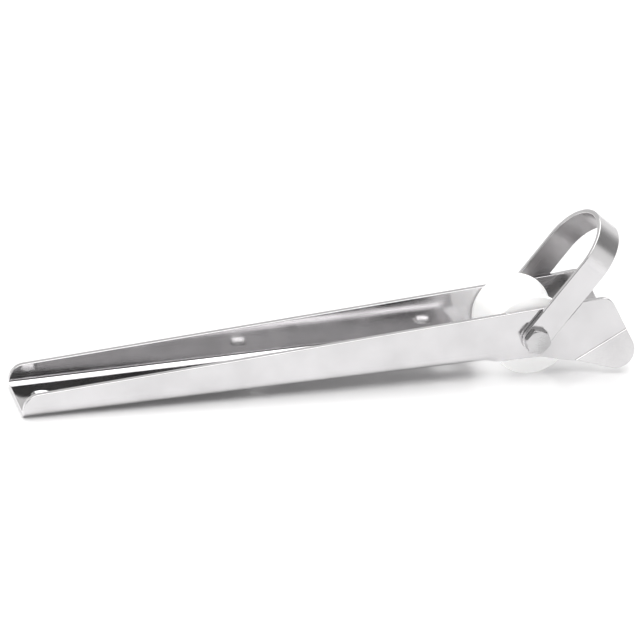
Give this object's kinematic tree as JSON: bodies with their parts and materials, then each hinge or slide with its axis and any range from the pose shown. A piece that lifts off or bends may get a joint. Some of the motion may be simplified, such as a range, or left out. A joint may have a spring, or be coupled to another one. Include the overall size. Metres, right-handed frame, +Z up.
{
  "type": "bow anchor roller",
  "caption": "Stainless bow anchor roller: a long folded channel for the deck, a grooved nylon roller between flared cheeks and a flat-bar bail that swings over it.",
  "frame": {"origin": "on the deck face, the flat underside of the channel's floor, on the centreline, midway between the first and the last deck fastener hole", "axes": "+X forward along the channel towards the roller, +Y across the channel to its left side, +Z up out of the deck"},
  "size_m": [0.4183, 0.0801, 0.1023],
  "materials": {
    "stainless_sheet": "satin-polished stainless sheet and flat bar",
    "stainless_fastener": "stainless bolt, washer and nut, machined bright",
    "white_nylon": "smooth white nylon with a soft sheen"
  },
  "bodies": {
    "channel_body": {"channel": "stainless_sheet", "axle_sleeve": "stainless_fastener", "roller_thrust_washer_near": "white_nylon", "roller_thrust_washer_far": "white_nylon", "pivot_bolt": "stainless_fastener", "nut_washer": "stainless_fastener", "lock_nut": "stainless_fastener", "lock_nut_insert": "white_nylon"},
    "bail": {"bail": "stainless_sheet"},
    "roller": {"anchor_roller": "white_nylon"}
  },
  "joints": [
    {"name": "bail_swing", "type": "hinge", "parent": "channel_body", "child": "bail", "pos_m": [0.193, 0, 0.0142], "axis": [0, -1, 0], "range_deg": [0, 102]},
    {"name": "roller_spin", "type": "hinge", "parent": "channel_body", "child": "roller", "pos_m": [0.193, 0, 0.0142], "axis": [0, 1, 0], "continuous": true}
  ]
}
